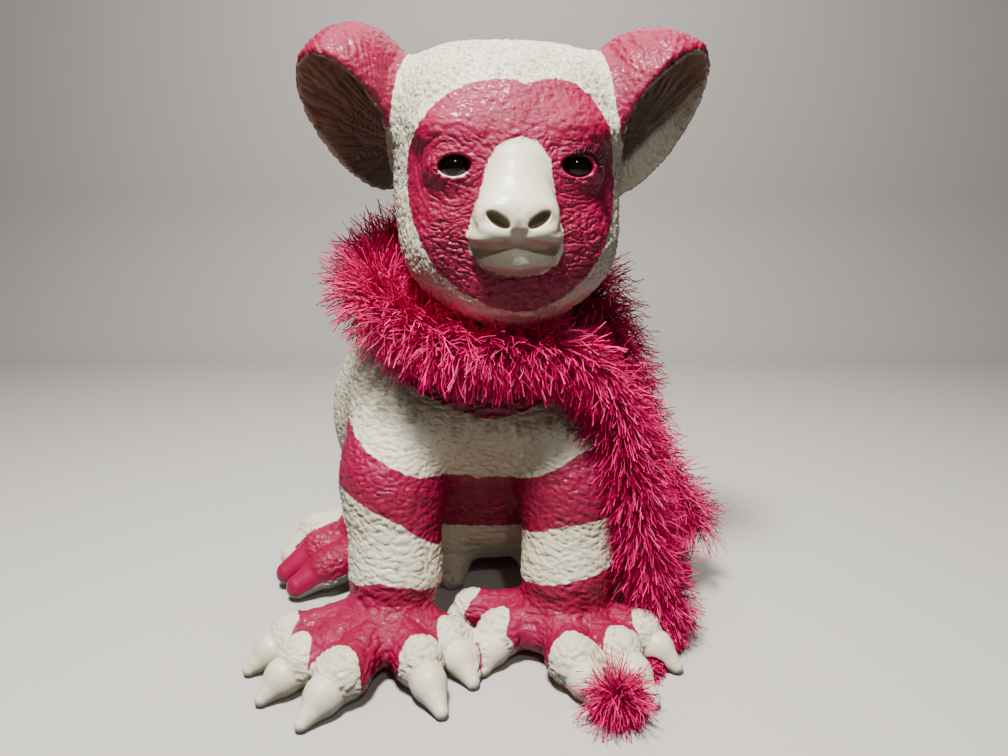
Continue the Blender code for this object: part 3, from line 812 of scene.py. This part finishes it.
shade_depth = np.minimum(shade_depth, -0.0014 * (1 - step(0.000, 0.003, tube(spots / HEIGHT, MOUTH, MOUTH_RADIUS))))
lifted = spots + normal * height[:, None]
lifted[:, 2] = np.maximum(lifted[:, 2], 0)
coarse.vertices.foreach_set("co", (lifted + ORIGIN).astype(np.float32).ravel())
coarse.update()
shades = threes(coarse.vertex_normals, "vector")
coarse.calc_loop_triangles()
triangles = threes(coarse.loop_triangles, "vertices", np.int32)

# Gloss enamel on the resin: raspberry pink and bone white, with painted shade (grey on the white, dark red on
# the pink) in the hollows of the fur, inside the nostrils, along the mouth and in pits of the stippled skin.
gloss = {"Roughness": 0.38, "Specular IOR Level": 0.30, "Coat Weight": 0.12, "Coat Roughness": 0.08}
enamel, tree, shader = finish("gloss_resin", gloss)
coords = add(tree, "ShaderNodeTexCoord").outputs["Object"]
white_at = carried(tree, "white")
shade_depth_at = carried(tree, "hollow")
bare_at = carried(tree, "bare")
stippled_at = carried(tree, "stippled")
ragged = speckled(tree, coords, 70.0, 4.0, 0.6)
edge = summed(tree, white_at, summed(tree, summed(tree, ragged, 0.5, "SUBTRACT"), 0.009, "MULTIPLY"))
is_white = ranged(tree, edge, -0.0012, 0.0012)
patchy = speckled(tree, coords, 14.0, 3.0)
pink = mixed(tree, ranged(tree, patchy, 0.35, 0.7), linear("#8c0534"), linear("#980a40"))
bone = mixed(tree, ranged(tree, patchy, 0.35, 0.7), linear("#ddd2b4"), linear("#e8dfc6"))
colour = mixed(tree, is_white, pink, bone)
painted_shade = mixed(tree, is_white, linear("#5c0a20"), linear("#6a6052"))
# Painted shade: the colour is darkened where the fur is sunk.
colour = mixed(tree, ranged(tree, shade_depth_at, -0.0006, -0.0036, 0.0, 0.9), colour, painted_shade)
# Painted shade in pits: dark spots at random on the stippled skin, none on bare skin and none inside the
# ears.
pit_spots = speckled(tree, coords, 320.0, 3.0, 0.6)
pit_shade_share = ranged(tree, stippled_at, -0.45, 1.0, 0.0, 0.85)
shaded_pits = summed(tree, ranged(tree, pit_spots, 0.48, 0.37), pit_shade_share, "MULTIPLY")
shaded_pits = summed(tree, shaded_pits, ranged(tree, bare_at, 0.0, 1.0, 1.0, 0.0), "MULTIPLY")
colour = mixed(tree, shaded_pits, colour, painted_shade)
tree.links.new(colour, shader.inputs["Base Color"])
tooled = speckled(tree, coords, 260.0, 4.0, 0.65)
tooled = summed(tree, tooled, ranged(tree, bare_at, 0.0, 1.0, 1.0, 0.25), "MULTIPLY")
bump = add(tree, "ShaderNodeBump", {"Height": tooled, "Strength": 0.8, "Distance": 0.0022})
tree.links.new(bump.outputs["Normal"], shader.inputs["Normal"])

# The skin in five pieces that are lit as one.
middles = lifted[triangles].mean(axis=1)
right, forward, up = to_head(middles)
on_top = middles[:, 2] > 0.60
ahead = middles[:, 1] < -0.02
on_face = (forward > 0.06) & (np.abs(right) < 0.15)
low_down = middles[:, 2] <= 0.12
share = np.where(on_top, np.where(on_face, 0, 1), np.where(ahead, np.where(low_down, 3, 2), 4))
for index, name in enumerate(("koala_face", "koala_head", "koala_front", "koala_paws", "koala_back")):
    mesh, used = mesh_of(name, lifted + ORIGIN, triangles[share == index])
    for key, values in (("white", white), ("hollow", shade_depth), ("bare", bare), ("stippled", stippled)):
        mesh.attributes.new(key, "FLOAT", "POINT").data.foreach_set("value", values[used].astype(np.float32))
    mesh.normals_split_custom_set_from_vertices(shades[used].tolist())
    mesh.materials.append(enamel)
    piece_from(name, mesh, "koala")
bpy.data.meshes.remove(coarse)


# The eyes: balls of brown-black glass, clouded at random.
EYE_RADIUS = 0.026
glass, tree, shader = finish("dark_glass", {"Roughness": 0.03, "Specular IOR Level": 0.3})
coords = add(tree, "ShaderNodeTexCoord").outputs["Object"]
clouded = speckled(tree, coords, 60.0, 2.0)
brown = mixed(tree, ranged(tree, clouded, 0.3, 0.7), linear("#050302"), linear("#0d0705"))
tree.links.new(brown, shader.inputs["Base Color"])
for side, name in ((-1, "eye_right"), (1, "eye_left")):
    ball = bmesh.new()
    bmesh.ops.create_uvsphere(ball, u_segments=64, v_segments=32, radius=EYE_RADIUS)
    turn = Matrix.Rotation(math.radians(HEAD_TURN), 4, "Z") @ Matrix.Rotation(math.pi / 2, 4, "X")
    middle = head_point(side * EYE[0], EYE[1], EYE[2]) * HEIGHT + Vector(ORIGIN)
    bmesh.ops.transform(ball, matrix=Matrix.Translation(middle) @ turn, verts=ball.verts)
    mesh = bpy.data.meshes.new(name)
    ball.to_mesh(mesh)
    ball.free()
    mesh.shade_smooth()
    mesh.materials.append(glass)
    piece_from("glass_" + name, mesh, name)


def slope(form, p, reach=0.0008):
    """The form's value and its outward direction."""
    value = form(p)
    rise = np.stack([form(p + reach * np.eye(3)[i]) - value for i in range(3)], 1) / reach
    return value, rise / np.maximum(np.linalg.norm(rise, axis=1), 1e-6)[:, None]


def ribbon_tree(name, material, width):
    """Geometry nodes that turn a mesh's edges into flat ribbons of this width, tapered by an attribute."""
    made = bpy.data.node_groups.new(name, "GeometryNodeTree")
    made.interface.new_socket("Geometry", in_out="INPUT", socket_type="NodeSocketGeometry")
    given = made.interface.new_socket("Width", in_out="INPUT", socket_type="NodeSocketFloat")
    given.default_value = width
    made.interface.new_socket("Geometry", in_out="OUTPUT", socket_type="NodeSocketGeometry")
    start = made.nodes.new("NodeGroupInput")
    named = add(made, "GeometryNodeInputNamedAttribute", {"Name": "taper"}, data_type="FLOAT")
    tilt = add(made, "GeometryNodeInputNamedAttribute", {"Name": "twist"}, data_type="FLOAT")
    strands = add(made, "GeometryNodeMeshToCurve", {"Mesh": start.outputs["Geometry"]})
    radius = {"Curve": strands.outputs[0], "Radius": named.outputs["Attribute"]}
    sized = add(made, "GeometryNodeSetCurveRadius", radius)
    twist = {"Curve": sized.outputs[0], "Tilt": tilt.outputs["Attribute"]}
    turned = add(made, "GeometryNodeSetCurveTilt", twist)
    half = summed(made, start.outputs["Width"], 0.5, "MULTIPLY")
    low = add(made, "ShaderNodeCombineXYZ", {"X": summed(made, half, -1.0, "MULTIPLY")})
    high = add(made, "ShaderNodeCombineXYZ", {"X": half})
    flat = add(made, "GeometryNodeCurvePrimitiveLine", {"Start": low.outputs[0], "End": high.outputs[0]})
    along = {"Curve": turned.outputs[0], "Profile Curve": flat.outputs[0]}
    swept = add(made, "GeometryNodeCurveToMesh", along)
    real = add(made, "GeometryNodeRealizeInstances", {"Geometry": swept.outputs[0]})
    coated = add(made, "GeometryNodeSetMaterial", {"Geometry": real.outputs[0], "Material": material})
    end = made.nodes.new("NodeGroupOutput")
    made.links.new(coated.outputs[0], end.inputs["Geometry"])
    return made


def ribbons(name, lines, taper, twist, shade, tree, node):
    """A piece of ribbons along lines, an array of strands by points by 3."""
    count, points = lines.shape[:2]
    first = np.arange(count * points).reshape(count, points)
    edges = np.stack([first[:, :-1], first[:, 1:]], -1).reshape(-1, 2)
    guide = bpy.data.meshes.new(name + "_guide")
    guide.from_pydata((lines.reshape(-1, 3) + ORIGIN).tolist(), edges.tolist(), [])
    along = np.tile(np.linspace(0, 1, points), (count, 1))
    for key, values in (("taper", taper), ("twist", twist), ("shade", shade), ("along", along)):
        layer = guide.attributes.new(key, "FLOAT", "POINT")
        layer.data.foreach_set("value", np.broadcast_to(values, (count, points)).astype(np.float32).ravel())
    holder = placed(name + "_guide", guide)
    holder.modifiers.new("ribbons", "NODES").node_group = tree
    graph = bpy.context.evaluated_depsgraph_get()
    mesh = bpy.data.meshes.new_from_object(holder.evaluated_get(graph))
    bpy.data.objects.remove(holder)
    mesh.name = name
    mesh.shade_smooth()
    return piece_from(name, mesh, node)


# The false lash: hairs fanned out of a thin band that is glued along the left eye's upper lid.
LASH_LENGTH, LASH_REACH, LASH_HAIR_WIDTH, LASH_BAND_WIDTH = 0.050, 0.020, 0.0008, 0.0026
# Where its band starts, as an angle about the eye, and the ellipse that it follows.
LASH_START, LASH_ROOT, LASH_ROOT_DEPTH = -0.10, (0.0290, 0.0195), 0.0215
black, tree, shader = finish("black_fibre", {"Roughness": 0.45, "Specular IOR Level": 0.3})
along_at = carried(tree, "along")
soot = mixed(tree, ranged(tree, along_at, 0.0, 1.0), linear("#0a0809"), linear("#1a1315"))
tree.links.new(soot, shader.inputs["Base Color"])
spread = LASH_LENGTH / math.sqrt((LASH_ROOT[0] ** 2 + LASH_ROOT[1] ** 2) / 2)
dice = np.random.default_rng(31)
hairs = 130
angle = LASH_START + spread * (np.arange(hairs) + dice.uniform(-0.3, 0.3, hairs)) / (hairs - 1)
out = np.stack([np.cos(angle), np.zeros(hairs), np.sin(angle)], 1)
turn = np.array(Matrix.Rotation(math.radians(HEAD_TURN), 3, "Z"))
socket = np.array(head_point(*EYE))


def on_lid(angles):
    """Points along the lid's edge at these angles from the eye's middle, drawn onto the skin."""
    wide, high = np.cos(angles) * LASH_ROOT[0], np.sin(angles) * LASH_ROOT[1]
    spots = np.stack([wide, angles * 0 - LASH_ROOT_DEPTH, high], 1) @ turn.T + socket
    for _ in range(3):
        value, normal = slope(figure_form, spots)
        spots += normal * (0.0012 - value)[:, None]
    return spots


root = on_lid(angle)
lean = out * 0.95 + np.array([0.15, -0.42, 0.12]) + dice.normal(0, 0.13, (hairs, 3))
lean /= np.linalg.norm(lean, axis=1)[:, None]
reach = LASH_REACH * dice.uniform(0.6, 1.0, hairs) * np.interp(angle, [0.6, 1.9], [1.0, 0.55])
steps = np.linspace(0, 1, 6)
curl = np.array([0, 0, 0.22]) * (steps**2)[:, None]
hair = root[:, None] + reach[:, None, None] * (steps[None, :, None] * (lean @ turn.T)[:, None] + curl[None])
for point in range(1, 6):
    value, normal = slope(figure_form, hair[:, point])
    hair[:, point] += normal * np.clip(0.0015 - value, 0, 0.02)[:, None]
lash_tree = ribbon_tree("lash_ribbons", black, LASH_HAIR_WIDTH)
lash_twist = dice.uniform(0, 3.14, hairs)[:, None]
ribbons("eyelash_hairs", hair, 1 - 0.85 * steps**1.5, lash_twist, 0.5, lash_tree, "eyelash")
# Two ribbons at right angles, so that the band shows from every side.
band_tree = ribbon_tree("band_ribbon", black, LASH_BAND_WIDTH)
for turned, name in ((0.0, "eyelash_band"), (1.571, "eyelash_glue")):
    line = on_lid(np.linspace(LASH_START, LASH_START + spread, 24))[None]
    ribbons(name, line, 1.0, turned, 0.5, band_tree, "eyelash")


# The fringe: flat strips of magenta film bound on the cord, standing out all round it and drooping at their
# ends. Beside the neck they are longer and stand up, and at the end on the floor they are a tuft.
STRANDS, STRAND_POINTS, STRAND_LENGTH, STRAND_WIDTH = 15000, 6, 0.078, 0.0015
DROOP, WAVE, TUFT_LENGTH, TUFT_STRANDS = 0.34, 0.20, 0.045, 833
fibre, tree, shader = finish("fringe_fibre", {"Roughness": 0.45, "Specular IOR Level": 0.22})
shade_at = carried(tree, "shade")
along_at = carried(tree, "along")
# Each strand has its own tone at random, then painted shade darkens it towards its root on the cord.
dye_and_root_shade = mixed(tree, shade_at, linear("#99003c"), linear("#ff0f78"))
dye_and_root_shade = mixed(tree, ranged(tree, along_at, 0.0, 0.6, 0.85, 0.0), dye_and_root_shade, linear("#3a0016"))
tree.links.new(dye_and_root_shade, shader.inputs["Base Color"])
fringe_tree = ribbon_tree("fringe_ribbons", fibre, STRAND_WIDTH)
# How far to the figure's left the strands may stand.
FRINGE_REACH = 0.500
knots = np.array([g[:3] for g in GARLAND])
full = np.array([g[3] for g in GARLAND])
runs = np.linalg.norm(np.diff(knots, axis=0), axis=1)
marks = np.concatenate([[0], np.cumsum(runs)])


def on_line(along):
    """Points on the garland's middle line at these lengths from its start."""
    return np.stack([np.interp(along, marks, knots[:, i]) for i in range(3)], 1)


dice = np.random.default_rng(12)
for piece_index in range(2):
    place = dice.uniform(0, marks[-1], STRANDS)
    place[:TUFT_STRANDS] = marks[-1] - dice.uniform(0, TUFT_LENGTH, TUFT_STRANDS)
    centre = on_line(place)
    ahead = on_line(place + 0.01) - on_line(place - 0.01)
    ahead /= np.linalg.norm(ahead, axis=1)[:, None]
    fullness = np.interp(place, marks, full)
    out = dice.normal(size=(STRANDS, 3))
    beside = out - ahead * np.sum(out * ahead, axis=1)[:, None]
    loose = place > marks[-1] - TUFT_LENGTH
    out = np.where(loose[:, None], out, beside)
    out /= np.linalg.norm(out, axis=1)[:, None]
    out += ahead * dice.normal(0, 0.35, STRANDS)[:, None]
    out /= np.linalg.norm(out, axis=1)[:, None]
    neck = step(marks[5], marks[7], place) * (1 - step(marks[11], marks[13], place))
    out[:, 2] += 0.9 * neck
    out /= np.linalg.norm(out, axis=1)[:, None]
    length = STRAND_LENGTH * fullness * dice.uniform(0.6, 1.2, STRANDS) * (1 + 0.3 * neck)
    droop = dice.uniform(0.25, 1.1, STRANDS) * (1 - 0.6 * neck)
    line = np.empty((STRANDS, STRAND_POINTS, 3))
    line[:, 0] = centre + out * 0.003
    way = out.copy()
    for i in range(1, STRAND_POINTS):
        way[:, 2] -= droop * DROOP
        way += dice.normal(0, WAVE, (STRANDS, 3))
        way /= np.linalg.norm(way, axis=1)[:, None]
        tip = line[:, i - 1] + way * (length / (STRAND_POINTS - 1))[:, None]
        value, normal = slope(figure_form, tip)
        tip += normal * np.clip(0.003 + 0.002 * dice.uniform(size=STRANDS) - value, 0, 0.03)[:, None]
        tip[:, 0] = np.minimum(tip[:, 0], FRINGE_REACH - 0.01 * dice.uniform(size=STRANDS) ** 2)
        tip[:, 2] = np.maximum(tip[:, 2], 0.0015)
        line[:, i] = tip
    steps = np.linspace(0, 1, STRAND_POINTS)
    twist = dice.uniform(0, 6.28, STRANDS)[:, None] + dice.normal(0, 1.4, STRANDS)[:, None] * steps[None]
    shade = np.clip(dice.normal(0.45, 0.28, STRANDS), 0, 1)[:, None]
    name, taper = f"garland_fringe_{piece_index}", 1 - 0.35 * steps**3
    ribbons(name, line, taper, twist, shade, fringe_tree, "garland")
curve.materials.append(fibre)
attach(garland_cord, "root")
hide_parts("garland")


# A plain pale floor that curves up far behind, and studio light from above.
BEND = 0.9
profile = [(-4.0, -0.001), (2.4, -0.001)]
profile += [(2.4 + BEND * math.sin(a), BEND * (1 - math.cos(a))) for a in np.linspace(0.1, math.pi / 2, 12)]
profile += [(2.4 + BEND, 4.0)]
floor_mesh = bpy.data.meshes.new("floor")
corners = [(x, y, z) for y, z in profile for x in (-6, 6)]
strips = [(2 * i, 2 * i + 1, 2 * i + 3, 2 * i + 2) for i in range(len(profile) - 1)]
floor_mesh.from_pydata(corners, [], strips)
floor_mesh.shade_smooth()
floor = placed("floor", floor_mesh)
pale, tree, shader = finish("pale_floor", {"Base Color": linear("#c4beb5"), "Roughness": 0.7})
floor_mesh.materials.append(pale)
# The floor throws no light back up, so that the shadows under the chin and chest stay deep.
floor.visible_diffuse = False
for name, place, aim, power, size in (
    ("key", (-0.30, -1.20, 2.95), (0, -0.1, 0.5), 225, 0.45),
    ("catch", (0.35, -1.7, 1.75), (0, -0.2, 0.7), 7, 0.10),
    ("rim", (0.6, 1.6, 2.6), (0, 0, 0.6), 16, 1.4),
    ("wall", (0, 1.2, 3.2), (0, 3.2, 0.9), 60, 2.5),
):
    lamp = bpy.data.lights.new(name, "AREA")
    lamp.energy = power
    lamp.size = size
    holder = placed(name, lamp)
    holder.location = place
    holder.rotation_euler = (Vector(aim) - Vector(place)).to_track_quat("-Z", "Y").to_euler()
world = bpy.data.worlds.new("studio")
bpy.context.scene.world = world
world.use_nodes = True
sky = world.node_tree.nodes["Background"]
sky.inputs["Color"].default_value = (0.86, 0.90, 1.0, 1)
sky.inputs["Strength"].default_value = 0.06
